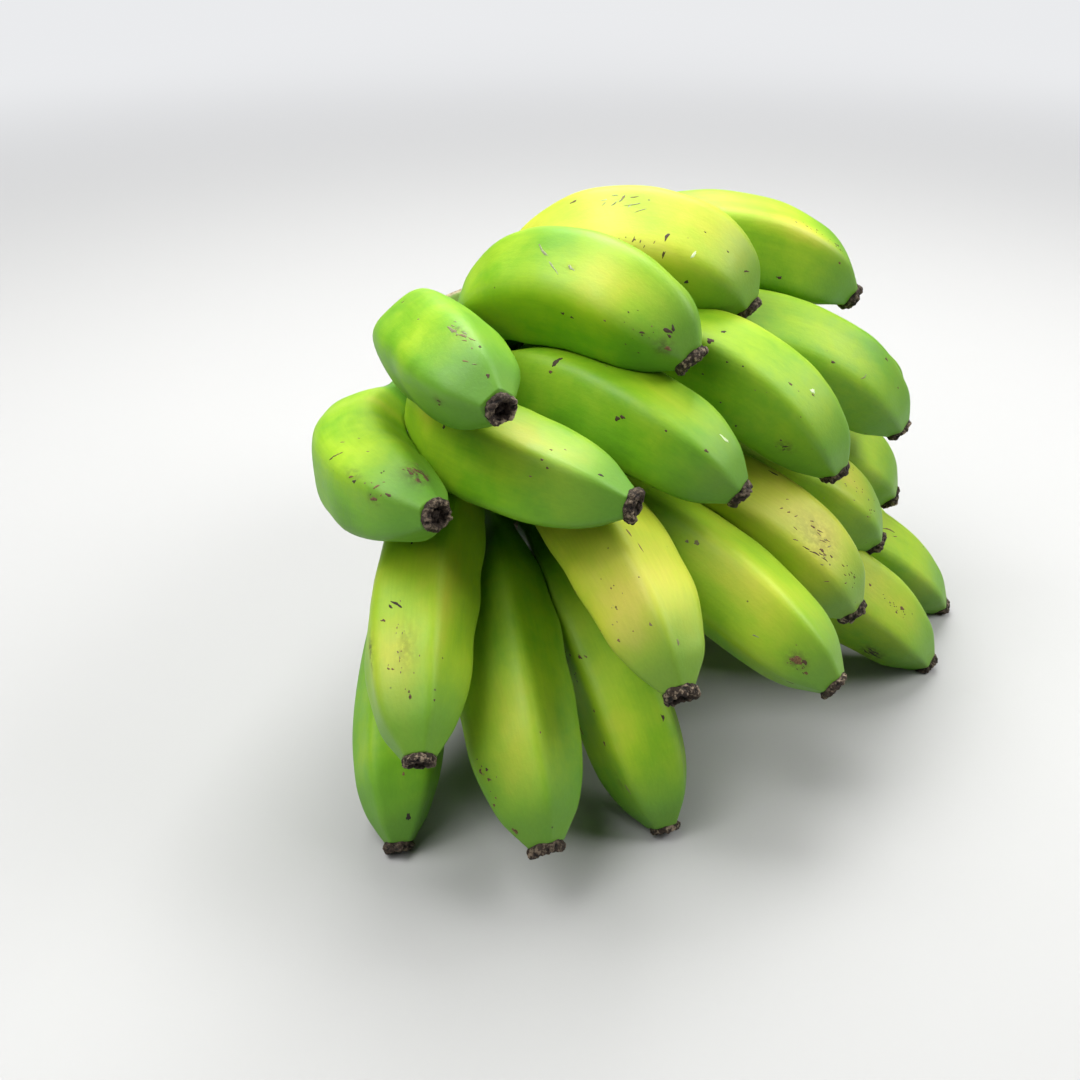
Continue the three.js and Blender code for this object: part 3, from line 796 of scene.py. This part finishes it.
# Single marks: (share of length, degrees round from the back, length and width in mm, degrees off
# lengthwise, tone), where the tone goes from 0, black, over brown and grey to 1, a pale bloom
SCARS = {
    "upper_hand_top_banana_1": [
        (0.83, 34, 5.5, 1.1, 10, 0.62),
        (0.865, 39, 3.5, 0.9, 25, 0.55),
        (0.885, 44, 3.0, 0.5, 30, 0.5),
        (0.92, 22, 2.4, 0.5, 40, 0.5),
        (0.91, 48, 1.0, 0.8, 0, 0.2),
        (0.52, 20, 1.6, 0.9, 60, 0.4),
        (0.91, -46, 1.6, 0.8, 0, 0.3),
        (0.905, -53, 1.2, 0.7, 30, 0.3),
        (0.97, 38, 1.4, 1.1, 0, 0.3),
        (0.70, 18, 1.2, 0.6, 30, 0.6),
    ],
    "upper_hand_top_banana_2": [
        (0.55, -33, 8.0, 0.9, -42, 0.68),
        (0.60, -49, 7.0, 0.6, -38, 0.7),
        (0.645, -45, 3.4, 1.0, -30, 0.7),
        (0.655, -92, 1.8, 1.1, 20, 0.25),
        (0.685, -93, 1.8, 0.9, 0, 0.2),
        (0.79, -78, 1.1, 0.6, 0, 0.5),
        (0.925, -46, 3.4, 1.5, 35, 0.2),
        (0.93, -38, 2.2, 1.2, -40, 0.15),
        (0.937, -50, 1.5, 1.0, 0, 0.2),
        (0.885, -68, 1.8, 0.8, 30, 0.3),
        (0.955, -66, 2.2, 1.4, 0, 0.45),
        (0.86, -95, 0.8, 0.6, 0, 0.3),
        (0.90, -100, 0.9, 0.6, 0, 0.3),
    ],
    "upper_hand_top_banana_3": [
        (0.575, -66, 3.0, 0.8, 80, 0.25),
        (0.595, -70, 1.6, 0.6, 85, 0.3),
        (0.615, -63, 2.4, 0.5, 75, 0.35),
        (0.695, -54, 4.2, 1.1, 80, 0.2),
        (0.70, -72, 2.8, 0.9, 85, 0.3),
        (0.79, -91, 2.0, 1.5, 40, 0.12),
        (0.775, -62, 3.4, 1.1, 80, 0.97),
        (0.78, -30, 0.8, 0.6, 0, 0.3),
        (0.85, -35, 1.0, 0.6, 0, 0.3),
        (0.92, -30, 3.4, 0.6, 60, 0.3),
        (0.575, -12, 3.0, 0.7, 70, 0.55),
        (0.60, -20, 5.0, 0.4, 20, 0.65),
        (0.62, -26, 4.0, 0.4, 35, 0.65),
        (0.46, -8, 2.5, 0.7, 10, 0.35),
    ],
    "upper_hand_top_banana_4": [
        (0.76, -40, 1.2, 0.8, 0, 0.5),
        (0.79, -38, 1.0, 0.7, 0, 0.45),
        (0.82, -30, 1.0, 0.7, 0, 0.4),
        (0.875, -34, 1.2, 0.9, 0, 0.3),
        (0.89, -40, 1.1, 0.8, 0, 0.3),
        (0.885, -30, 1.0, 0.7, 0, 0.3),
        (0.90, -60, 1.2, 0.8, 0, 0.4),
        (0.76, -112, 2.8, 1.0, 10, 0.25),
    ],
    "upper_hand_under_banana_1": [
        (0.735, 42, 2.6, 1.0, 75, 0.3),
        (0.74, 47, 2.2, 0.8, 70, 0.35),
        (0.745, 52, 2.0, 0.7, 75, 0.4),
        (0.70, 62, 2.0, 0.6, 40, 0.5),
        (0.85, 35, 2.0, 1.1, 20, 0.12),
        (0.835, 38, 2.4, 0.8, 30, 0.4),
        (0.91, 42, 2.4, 0.8, 60, 0.45),
        (0.91, 25, 3.6, 1.2, 15, 0.4),
        (0.94, 38, 2.0, 1.0, 0, 0.35),
        (0.93, 92, 3.4, 1.0, 10, 0.38),
        (0.935, 104, 3.2, 1.1, 30, 0.35),
        (0.95, 112, 4.4, 1.4, 20, 0.33),
        (0.955, 95, 2.4, 0.9, 0, 0.35),
        (0.89, 62, 0.8, 0.7, 0, 0.25),
        (0.89, 66, 0.8, 0.6, 0, 0.25),
        (0.80, 75, 1.6, 0.5, 30, 0.6),
        (0.72, 80, 1.6, 0.5, 20, 0.6),
    ],
    "upper_hand_under_banana_2": [
        (0.565, 22, 2.2, 1.2, 80, 0.1),
        (0.555, 62, 4.5, 0.7, 60, 0.6),
        (0.56, 56, 2.5, 0.5, 30, 0.5),
        (0.94, 48, 1.8, 1.1, 20, 0.12),
        (0.83, 48, 1.2, 0.7, 0, 0.45),
        (0.83, 30, 1.3, 0.7, 0, 0.4),
        (0.845, 24, 0.9, 0.7, 0, 0.35),
        (0.815, 8, 1.0, 0.6, 0, 0.5),
        (0.85, 60, 1.0, 0.5, 0, 0.5),
    ],
    "upper_hand_under_banana_3": [
        (0.505, -2, 5.0, 1.8, 75, 0.2),
        (0.50, -14, 1.6, 1.2, 0, 0.4),
        (0.69, -34, 2.2, 1.7, 80, 0.2),
        (0.70, -30, 2.0, 1.3, 0, 0.28),
        (0.885, -12, 1.8, 0.9, 10, 0.35),
        (0.795, -20, 0.9, 0.7, 0, 0.3),
        (0.90, 28, 4.2, 1.1, 15, 0.97),
        (0.60, 20, 1.0, 0.5, 0, 0.5),
    ],
    "upper_hand_under_banana_4": [
        (0.615, -12, 2.4, 1.3, 60, 0.08),
        (0.60, -34, 2.6, 2.2, 40, 0.30),
        (0.645, -48, 0.9, 0.7, 0, 0.20),
        (0.675, -45, 0.7, 0.6, 0, 0.20),
        (0.61, -70, 1.0, 0.7, 0, 0.20),
        (0.67, -92, 1.0, 0.7, 0, 0.20),
        (0.73, -108, 1.0, 0.8, 0, 0.15),
        (0.77, -30, 1.7, 1.0, 0, 0.38),
        (0.815, -14, 2.2, 1.7, 60, 0.96),
        (0.82, -18, 1.3, 0.8, 0, 0.40),
        (0.855, -98, 2.8, 0.9, 60, 0.12),
        (0.835, -94, 1.2, 0.8, 0, 0.30),
        (0.86, -104, 1.6, 0.6, 70, 0.15),
    ],
    "upper_hand_under_banana_5": [
        (0.72, -55, 2.0, 1.1, 10, 0.3),
        (0.84, -5, 1.8, 0.8, 0, 0.35),
        (0.80, -52, 4.0, 0.5, 60, 0.6),
        (0.90, -20, 1.0, 0.7, 0, 0.4),
    ],
    "lower_hand_top_banana_1": [
        (0.70, 12, 5.2, 1.0, 55, 0.12),
        (0.705, 5, 2.0, 0.9, 40, 0.15),
        (0.735, -2, 2.0, 0.9, 70, 0.4),
        (0.84, 3, 1.2, 0.6, 60, 0.45),
        (0.842, 8, 1.2, 0.6, 60, 0.45),
        (0.90, 28, 1.6, 1.1, 0, 0.35),
        (0.89, 27, 1.0, 0.8, 0, 0.35),
        (0.91, 60, 0.8, 0.7, 0, 0.3),
        (0.53, 20, 6.0, 1.3, 0, 0.1),
    ],
    "lower_hand_top_banana_2": [
        (0.68, -104, 2.0, 1.1, 20, 0.15),
        (0.61, -140, 2.5, 1.0, 20, 0.35),
        (0.66, -12, 3.0, 0.7, 10, 0.5),
        (0.70, -8, 4.0, 0.5, 5, 0.5),
        (0.82, -116, 1.8, 0.9, 0, 0.4),
        (0.86, -85, 1.5, 0.9, 0, 0.5),
        (0.87, -36, 1.5, 0.9, 20, 0.55),
        (0.92, -8, 2.0, 0.9, 0, 0.6),
        (0.75, -60, 0.9, 0.7, 0, 0.5),
    ],
    "lower_hand_top_banana_3": [
        (0.56, -22, 2.2, 1.8, 0, 0.6),
        (0.54, -27, 1.5, 1.2, 0, 0.6),
        (0.905, -52, 4.4, 3.2, 20, 0.42),
        (0.92, -47, 2.4, 1.6, 0, 0.3),
        (0.93, -95, 3.0, 0.5, 10, 0.3),
        (0.80, -62, 3.0, 0.5, 20, 0.65),
        (0.94, -60, 1.6, 1.1, 0, 0.4),
    ],
    "lower_hand_top_banana_4": [
        (0.765, -44, 3.0, 0.5, 15, 0.34),
        (0.79, -41, 4.5, 0.6, 18, 0.32),
        (0.82, -38, 3.0, 0.5, 12, 0.34),
        (0.80, -32, 2.2, 1.3, 10, 0.40),
        (0.83, -28, 1.5, 0.8, 0, 0.36),
        (0.75, -14, 2.0, 1.0, 20, 0.42),
        (0.77, -12, 2.6, 0.6, 25, 0.40),
        (0.74, -8, 1.8, 0.5, 40, 0.42),
        (0.79, -20, 3.0, 0.4, 30, 0.42),
        (0.80, -14, 2.4, 0.4, 20, 0.42),
        (0.66, -22, 1.6, 0.6, 60, 0.44),
        (0.68, -20, 1.6, 0.6, 60, 0.44),
        (0.66, -5, 1.4, 0.4, 50, 0.44),
        (0.70, -18, 2.2, 0.4, 70, 0.44),
        (0.60, 16, 4.0, 0.7, 5, 0.20),
        (0.89, -30, 1.5, 0.4, 20, 0.36),
        (0.90, -22, 1.2, 0.4, 0, 0.36),
        (0.905, -38, 1.4, 0.5, 60, 0.36),
        (0.92, -12, 1.2, 0.5, 30, 0.38),
    ],
    "lower_hand_under_banana_1": [(0.945, 62, 2.8, 1.7, 10, 0.05), (0.85, 50, 1.5, 1.0, 0, 0.5)],
    "lower_hand_under_banana_2": [
        (0.69, -56, 1.6, 1.3, 0, 0.15),
        (0.80, -58, 3.0, 0.6, 0, 0.4),
        (0.83, -42, 2.0, 0.8, 0, 0.38),
        (0.83, -35, 1.2, 0.9, 0, 0.3),
        (0.85, -37, 1.2, 1.0, 0, 0.38),
        (0.90, -44, 1.0, 0.8, 0, 0.4),
        (0.96, -40, 2.4, 1.2, 0, 0.4),
        (0.79, 32, 0.8, 0.6, 0, 0.5),
    ],
    "lower_hand_under_banana_3": [
        (0.50, -120, 2.4, 1.1, 20, 0.08),
        (0.60, -104, 2.6, 0.5, 20, 0.4),
        (0.63, -112, 9.0, 0.8, 3, 0.48),
        (0.69, -110, 10.0, 0.7, -2, 0.48),
        (0.55, -50, 2.0, 1.2, 20, 0.35),
        (0.53, -62, 1.2, 0.7, 0, 0.4),
        (0.68, -60, 1.2, 0.9, 0, 0.4),
        (0.76, -65, 2.0, 1.1, 0, 0.45),
        (0.75, 12, 2.4, 1.0, 0, 0.2),
        (0.88, -60, 4.0, 0.7, 10, 0.6),
    ],
    "lower_hand_under_banana_4": [
        (0.70, -48, 1.8, 1.0, 0, 0.4),
        (0.72, -42, 1.6, 1.1, 0, 0.4),
        (0.82, -38, 2.8, 1.8, 20, 0.42),
        (0.81, -50, 1.4, 1.0, 0, 0.4),
        (0.86, -132, 7.0, 0.8, 10, 0.08),
        (0.87, -138, 8.0, 0.9, 0, 0.05),
        (0.85, -142, 5.0, 0.7, -10, 0.1),
    ],
    "lower_hand_under_banana_5": [(0.72, -30, 8.0, 0.8, 15, 0.4), (0.74, -36, 3.0, 0.6, 30, 0.45)],
}
# Scuffed places with many fine strokes or specks: (share, degrees, half-length, half-width in degrees,
# how many, longest in mm, degrees off lengthwise, tone)
SCUFFS = {
    "upper_hand_top_banana_1": [(0.86, 36, 0.06, 9, 10, 2.0, 30, 0.6)],
    "upper_hand_top_banana_2": [(0.88, -70, 0.05, 26, 9, 0.8, 0, 0.3)],
    "upper_hand_top_banana_3": [
        (0.62, -64, 0.05, 6, 7, 1.8, 85, 0.35),
        (0.57, -16, 0.05, 9, 7, 3.0, 30, 0.65),
    ],
    "upper_hand_top_banana_4": [
        (0.82, -36, 0.09, 10, 10, 0.8, 0, 0.45),
        (0.88, -38, 0.03, 8, 5, 0.8, 0, 0.35),
    ],
    "upper_hand_under_banana_1": [
        (0.94, 100, 0.03, 18, 12, 2.6, 20, 0.42),
        (0.88, 38, 0.06, 18, 5, 1.2, 40, 0.42),
    ],
    "upper_hand_under_banana_4": [(0.78, -60, 0.16, 50, 10, 0.7, 0, 0.35)],
    "lower_hand_top_banana_1": [
        (0.78, 20, 0.08, 12, 12, 1.2, 10, 0.6),
        (0.86, 24, 0.05, 20, 5, 0.8, 0, 0.45),
    ],
    "lower_hand_top_banana_2": [(0.80, -60, 0.12, 50, 12, 0.9, 20, 0.5)],
    "lower_hand_top_banana_3": [(0.92, -55, 0.03, 16, 9, 1.2, 0, 0.4)],
    "lower_hand_top_banana_4": [
        (0.77, -24, 0.12, 32, 12, 2.8, 22, 0.48),
        (0.90, -25, 0.05, 28, 8, 1.3, 10, 0.4),
    ],
    "lower_hand_top_banana_5": [
        (0.80, -25, 0.12, 40, 14, 0.9, 0, 0.46),
        (0.90, -40, 0.03, 25, 6, 1.0, 0, 0.4),
    ],
    "lower_hand_under_banana_2": [(0.84, -38, 0.05, 14, 10, 0.9, 0, 0.4)],
    "lower_hand_under_banana_3": [(0.56, -75, 0.07, 25, 16, 1.6, 20, 0.42)],
    "lower_hand_under_banana_4": [(0.79, -44, 0.05, 10, 14, 1.2, 0, 0.42)],
}
SCAR_TONES = (
    (0.0, (0.012, 0.010, 0.008, 1)),
    (0.35, (0.075, 0.034, 0.012, 1)),
    (0.48, (0.200, 0.105, 0.035, 1)),
    (0.65, (0.180, 0.185, 0.095, 1)),
    (1.0, (0.680, 0.820, 0.480, 1)),
)


GRAIN_TONE = 0.07  # how much the grain of the crust lightens or darkens it
RAGGED_THIRDS, RAGGED_FIFTHS, RAGGED_NOISE = 0.16, 0.12, 0.08  # how uneven a scar's edge is
SCAR_BOW = 0.12  # how far a long scar may bend, as a share of its length
PLAIN_MARKS = 6  # how many small brown marks a banana gets that has none of its own


def on_skin(grid, share, angle, lift):
    """The point of the finished skin at a share and angle, between the four nearest points of its grid in
    proportion, then moved out along the normal by lift."""
    row = np.interp(share, ring_share, np.arange(RINGS))
    column = angle % (2 * np.pi) * ROUND / (2 * np.pi)
    low, left = np.minimum(row.astype(int), RINGS - 2), column.astype(int) % ROUND
    right, part_up, part_across = (left + 1) % ROUND, row - low, column - np.floor(column)
    part_up, part_across = part_up[..., None], part_across[..., None]
    corner, beside = grid[low, left], grid[low, right]
    above, across = grid[low + 1, left], grid[low + 1, right]
    bottom, top = corner + part_across * (beside - corner), above + part_across * (across - above)
    normal = np.cross(top - bottom, beside - corner)
    normal /= np.linalg.norm(normal, axis=-1, keepdims=True)
    return bottom + part_up * (top - bottom) + normal * lift[..., None]


def joined(solids):
    """Several closed solids as one set of points and faces."""
    starts = np.cumsum([0] + [len(points) for points, _ in solids])
    faces = []
    for start, (_, solid) in zip(starts, solids):
        faces += [[corner + start for corner in face] for face in solid]
    return np.concatenate([points for points, _ in solids]), faces


def dead_skin(name):
    """A matt crust, from black through brown and grey to a pale bloom by its tone."""
    material, tree, surface = new_material(name)
    spot = new_node(tree, "ShaderNodeTexCoord").outputs["Object"]
    grain = clouds(tree, spot, 1600.0, 4.0, 0.3, 0.7)
    tone = arithmetic(tree, "MULTIPLY_ADD", grain, 2 * GRAIN_TONE, attribute(tree, "tone"))
    colour = toned(tree, arithmetic(tree, "SUBTRACT", tone, GRAIN_TONE), SCAR_TONES)
    fill(tree, surface, {"Base Color": colour, "Roughness": 0.7, "Normal": bumped(tree, grain, 0.4, 0.0002)})
    return material


scar_material = dead_skin("dead_skin")
scar_faces = [face[::-1] for face in tube_faces(len(SCAR_OUT), SCAR_ROUND)]
for skin, name in zip(skins, banana_names):
    random = np.random.default_rng(1200 + skin.number)
    marks = list(SCARS.get(name, []))
    for at, degrees, half_length, half_width, count, longest, off, tone in SCUFFS.get(name, []):
        for _ in range(count):
            length = longest * random.uniform(0.35, 1.0)
            marks.append(
                (
                    at + half_length * random.normal(0, 0.5),
                    degrees + half_width * random.normal(0, 0.5),
                    length,
                    min(length, random.uniform(0.25, 0.55)),
                    off + random.normal(0, 18),
                    np.clip(tone + random.normal(0, 0.08), 0, 1),
                )
            )
    for _ in range(0 if marks else PLAIN_MARKS):
        place = random.uniform(0.4, 0.9), random.uniform(-120, 120)
        marks.append((*place, random.uniform(1, 3), 0.8, random.uniform(0, 90), 0.35))
    solids, tones = [], []
    turn = np.arange(SCAR_ROUND) * 2 * np.pi / SCAR_ROUND
    for at, degrees, length, width, off, tone in marks:
        ragged = 1 + RAGGED_THIRDS * np.sin(3 * turn + random.uniform(0, 6))
        ragged = ragged + RAGGED_FIFTHS * np.sin(5 * turn + random.uniform(0, 6))
        ragged = ragged + RAGGED_NOISE * random.normal(0, 1, SCAR_ROUND)
        lengthwise = length / 2 * MM * np.cos(turn) * ragged * SCAR_OUT[:, None]
        bowed = SCAR_BOW * length * MM * random.uniform(-1, 1) * (np.cos(turn) * SCAR_OUT[:, None]) ** 2
        crosswise = width / 2 * MM * np.sin(turn) * ragged * SCAR_OUT[:, None] + bowed
        aim_along, aim_across = math.cos(math.radians(off)), math.sin(math.radians(off))
        radius = skin.line.girth / 2 * float(taper(np.array(at)))
        share = at + (lengthwise * aim_along - crosswise * aim_across) / skin.line.length
        angle = math.radians(degrees) + (lengthwise * aim_across + crosswise * aim_along) / radius
        lift = np.broadcast_to(SCAR_HEIGHT[:, None], share.shape)
        rings = on_skin(grids[name], share, angle, lift)
        solids.append((capped(rings, [rings[0].mean(0), rings[-1].mean(0)]), scar_faces))
        tones.append(np.full(len(solids[-1][0]), tone))
    piece = new_piece(name + "_scars", *joined(solids), scar_material)
    set_values(piece, "tone", np.concatenate(tones))
    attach(piece, "root")


# ---------------------------------------------------------------- Crown and stalk
# The bananas of a hand grow together at their necks in a thick pad, the crown, and the crowns grow on a
# fibrous green stalk. It was sawn through above and below, and the cut faces have dried pale brown.
STALK_RADIUS = 24 * MM
CROWN_RADIUS, CROWN_HALF_HEIGHT = 31 * MM, 25 * MM
SAWN_EDGE = 1.5 * MM  # how far the rod narrows at its cuts
TURNED_COLUMNS = 48
NECK_LENGTH, NECK_RINGS, NECK_COLUMNS = 0.13, 14, 40  # how much of each banana the crown takes in
NECK_SWELL, NECK_SWELL_DROP = 1.22, 0.30  # its width there against the banana's, and how far that drops
ROD_RINGS = 12
STALK_VOXEL = 1.3 * MM
CUT_DEEP, CUT_SHALLOW = 2.2 * MM, 1.0 * MM  # the pale wood starts between these depths below the sawn faces
STALK_GREEN = (0.150, 0.270, 0.025, 1)
NECK_GREEN = (0.085, 0.235, 0.005, 1)
STALK_BROWN = (0.110, 0.075, 0.030, 1)
CUT_PALE = (0.420, 0.330, 0.190, 1)


def stalk_skin(name):
    """Rough green skin with brown fibres, and pale dried wood where the saw went through."""
    material, tree, surface = new_material(name)
    spot = attribute(tree, "straight", "Vector")
    strand = use_group(tree, fibres, {"Position": spot, "Scale": 420.0})
    patchy = clouds(tree, spot, 60.0, 5.0, 0.4, 0.7)
    grain = clouds(tree, spot, 600.0, 4.0, 0.3, 0.7)
    colour = mixed(tree, arithmetic(tree, "MULTIPLY", strand, patchy), STALK_GREEN, STALK_BROWN)
    colour = mixed(tree, attribute(tree, "neck"), colour, NECK_GREEN)
    cut = mixed(tree, grain, CUT_PALE, STALK_BROWN)
    colour = mixed(tree, attribute(tree, "cut"), colour, cut)
    fill(tree, surface, {"Base Color": colour, "Roughness": 0.62, "Normal": bumped(tree, strand, 0.4, 0.0010)})
    return material


def ring_centre(spots):
    """The centre of the circle, seen from above, that passes closest to the spots. It solves
    2 x cx + 2 y cy + k = x^2 + y^2 by least squares, and the height is the spots' own mean."""
    flat = spots[:, :2]
    known = np.column_stack([2 * flat, np.ones(len(flat))])
    answer = np.linalg.lstsq(known, (flat**2).sum(1), rcond=None)[0]
    return np.array([answer[0], answer[1], spots[:, 2].mean()])


def turned_solid(centre, axis, heights, widths, columns):
    """A closed solid of revolution: rings of these widths at these heights along an axis."""
    side = np.cross(axis, (0.0, 1.0, 0.0))
    side /= np.linalg.norm(side)
    other = np.cross(axis, side)
    turn = -np.arange(columns) * 2 * np.pi / columns
    ring = np.cos(turn)[:, None] * side + np.sin(turn)[:, None] * other
    points = centre + heights[:, None, None] * axis + widths[:, None, None] * ring
    poles = centre + np.array([heights[0], heights[-1]])[:, None] * axis
    return capped(points, poles), tube_faces(len(heights), columns)


roots = {name: lines[name].place(np.array(0.0), np.array(0.0), np.array(0.0)) for name in banana_names}
crowns = [
    ring_centre(np.array([roots[name] for name in banana_names if name.startswith(hand)]))
    for hand in ("upper_hand", "lower_hand")
]
stalk_axis = (crowns[0] - crowns[1]) / np.linalg.norm(crowns[0] - crowns[1])
heights = (node_points(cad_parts["stalk"]) - crowns[1]) @ stalk_axis
foot, top = heights.min(), heights.max()
rod_heights = np.linspace(foot + 6 * MM, top - 6 * MM, ROD_RINGS)
rod = turned_solid(
    crowns[1],
    stalk_axis,
    np.array([foot, foot + SAWN_EDGE, *rod_heights, top - SAWN_EDGE, top]),
    STALK_RADIUS * np.array([0.95, 1, *np.full(ROD_RINGS, 1.0), 1, 0.95]),
    TURNED_COLUMNS,
)
solids = [rod]
turn = np.linspace(-0.49 * np.pi, 0.49 * np.pi, 24)
upright = np.array([0.0, 0.0, 1.0])
for crown in crowns:
    crown_heights, crown_widths = CROWN_HALF_HEIGHT * np.sin(turn), CROWN_RADIUS * np.cos(turn)
    solids.append(turned_solid(crown, upright, crown_heights, crown_widths, TURNED_COLUMNS))
neck_share = np.linspace(0, NECK_LENGTH, NECK_RINGS)
neck_columns = np.arange(NECK_COLUMNS) * 2 * np.pi / NECK_COLUMNS
neck_grid, neck_angle = np.meshgrid(neck_share, neck_columns, indexing="ij")
for skin in skins:
    swell = NECK_SWELL - NECK_SWELL_DROP * smooth_step(neck_grid, 0.0, NECK_LENGTH)
    neck = skin.line.place(neck_grid, neck_angle, skin.reach(neck_grid, neck_angle) * swell)
    poles = skin.line.place(neck_share[[0, -1]], np.zeros(2), np.zeros(2))
    solids.append((capped(neck, poles), tube_faces(NECK_RINGS, NECK_COLUMNS)))

stalk = new_piece("stalk_and_crowns", *joined(solids), stalk_skin("stalk_skin"))
fused = stalk.modifiers.new("fused", "REMESH")
fused.mode, fused.voxel_size = "VOXEL", STALK_VOXEL
softened = stalk.modifiers.new("softened", "SMOOTH")
softened.factor, softened.iterations = 0.5, 5
grown = bpy.data.meshes.new_from_object(stalk.evaluated_get(bpy.context.evaluated_depsgraph_get()))
stalk.modifiers.clear()
stalk.data = grown
grown.polygons.foreach_set("use_smooth", np.ones(len(grown.polygons), bool))
stalk_surface = np.zeros(len(grown.vertices) * 3)
grown.vertices.foreach_get("co", stalk_surface)
stalk_surface = stalk_surface.reshape(-1, 3)
height = (stalk_surface - crowns[1]) @ stalk_axis
sawn_top = smooth_step(height, top - CUT_DEEP, top - CUT_SHALLOW)
sawn_foot = smooth_step(-height, -foot - CUT_DEEP, -foot - CUT_SHALLOW)
set_values(stalk, "cut", np.maximum(sawn_top, sawn_foot))
across = np.cross(stalk_axis, (0.0, 1.0, 0.0))
across /= np.linalg.norm(across)
beside = np.cross(stalk_axis, across)
set_values(stalk, "straight", np.stack([stalk_surface @ across, stalk_surface @ beside, height], axis=-1))
off_axis = np.linalg.norm(stalk_surface - crowns[1] - height[:, None] * stalk_axis, axis=-1)
set_values(stalk, "neck", smooth_step(off_axis, STALK_RADIUS + 1 * MM, CROWN_RADIUS + 2 * MM))
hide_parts("stalk")
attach(stalk, "root")


# ---------------------------------------------------------------- Table
# A plain matt pale grey table top with a wall behind it, in one sweep with no corner. It is not part of
# the bunch, which only stands on it.
TABLE_GREY = (0.43, 0.43, 0.425, 1)
TABLE_SIDE, TABLE_FRONT = 4.0, 3.0
SWEEP_START, SWEEP_RADIUS, WALL_TOP = 1.4, 0.8, 3.0
FADE_START, FADE_END = 0.45, 1.7  # metres from the middle of the bunch's foot
ROOM_PALE, ROOM_COLOUR = 0.85, (0.97, 0.98, 1.0, 1)
table_material, tree, surface = new_material("table_white")
fill(tree, surface, {"Base Color": TABLE_GREY, "Roughness": 0.9})
# Away from the bunch the table passes over into the pale room, to the eye but not for the light
place = new_node(tree, "ShaderNodeTexCoord").outputs["Object"]
far_off = new_node(tree, "ShaderNodeVectorMath", {0: place}, operation="LENGTH").outputs["Value"]
seen = new_node(tree, "ShaderNodeLightPath").outputs["Is Camera Ray"]
faded = arithmetic(tree, "MULTIPLY", ranged(tree, far_off, FADE_START, FADE_END, curve="SMOOTHSTEP"), seen)
glow = new_node(tree, "ShaderNodeEmission", {"Color": ROOM_COLOUR, "Strength": ROOM_PALE})
passed = new_node(tree, "ShaderNodeMixShader", {0: faded, 1: surface.outputs["BSDF"], 2: glow.outputs[0]})
tree.links.new(passed.outputs[0], tree.nodes["Material Output"].inputs["Surface"])
bend = np.linspace(0, np.pi / 2, 16)
sweep_y = np.concatenate(
    [[-TABLE_FRONT], SWEEP_START + SWEEP_RADIUS * np.sin(bend), [SWEEP_START + SWEEP_RADIUS]]
)
sweep_z = np.concatenate([[0.0], SWEEP_RADIUS * (1 - np.cos(bend)), [WALL_TOP]])
rows = len(sweep_y)
sides = np.repeat([-TABLE_SIDE, TABLE_SIDE], rows)
table_points = np.stack([sides, np.tile(sweep_y, 2), np.tile(sweep_z, 2)], axis=-1)
row = np.arange(rows - 1)
table_faces = np.stack([row, rows + row, rows + row + 1, row + 1], axis=-1).tolist()
table = new_piece("table", table_points, table_faces, table_material)


# ---------------------------------------------------------------- Light and camera
# Four soft studio lights: one high behind, one high at the left, a weak one in front of it at the left and
# one at the right. The pale room adds a little fill.
LIGHT_DISTANCE, LIGHT_SIZE = 1.3, 0.8
ROOM_FILL = 0.05
middle = (np.array(cad_box[0]) + np.array(cad_box[1])) / 2


def soft_light(name, round_from_front, up, power):
    """A square area light at a distance from the middle of the bunch and aimed at it. It stands so many
    degrees round to the left of the camera's side, and so many up."""
    data = bpy.data.lights.new(name, "AREA")
    data.shape, data.size, data.energy = "SQUARE", LIGHT_SIZE, power
    lamp = bpy.data.objects.new(name, data)
    turn, rise = math.radians(round_from_front), math.radians(up)
    heading = Vector((-math.sin(turn) * math.cos(rise), -math.cos(turn) * math.cos(rise), math.sin(rise)))
    lamp.location = Vector(middle) + LIGHT_DISTANCE * heading
    lamp.rotation_euler = heading.to_track_quat("Z", "Y").to_euler()
    bpy.context.scene.collection.objects.link(lamp)


# Degrees round to the left from the camera's side, degrees up, and power in watts
soft_light("back", 180, 60, 23)
soft_light("left", 80, 60, 14)
soft_light("front_left", 45, 40, 6)
soft_light("right", -90, 38, 14)
world = bpy.data.worlds.new("room")
world.use_nodes = True
room = world.node_tree
# The room looks pale, but adds only a little light of its own
seen = new_node(room, "ShaderNodeLightPath").outputs["Is Camera Ray"]
strength = ranged(room, seen, 0.0, 1.0, ROOM_FILL, ROOM_PALE)
fill(room, room.nodes["Background"], {"Color": ROOM_COLOUR, "Strength": strength})
bpy.context.scene.world = world
bpy.context.scene.view_settings.view_transform = "Standard"

CAMERA_ELEVATION = math.radians(30)
CAMERA_DISTANCE = 0.56
LENS, FILM_WIDTH = 43.47, 36
LEFT_OF_MIDDLE, BEFORE_MIDDLE, AIM_HEIGHT = 58.2 * MM, 41.0 * MM, 88.2 * MM
aim = Vector((middle[0] - LEFT_OF_MIDDLE, middle[1] - BEFORE_MIDDLE, AIM_HEIGHT))
camera_data = bpy.data.cameras.new("camera")
camera_data.lens, camera_data.sensor_width = LENS, FILM_WIDTH
camera_data.clip_start, camera_data.clip_end = 0.01, 50
camera = bpy.data.objects.new("camera", camera_data)
back_off = Vector((0, -math.cos(CAMERA_ELEVATION), math.sin(CAMERA_ELEVATION)))
camera.location = aim + CAMERA_DISTANCE * back_off
camera.rotation_euler = Euler((math.pi / 2 - CAMERA_ELEVATION, 0, 0))
bpy.context.scene.collection.objects.link(camera)
bpy.context.scene.camera = camera
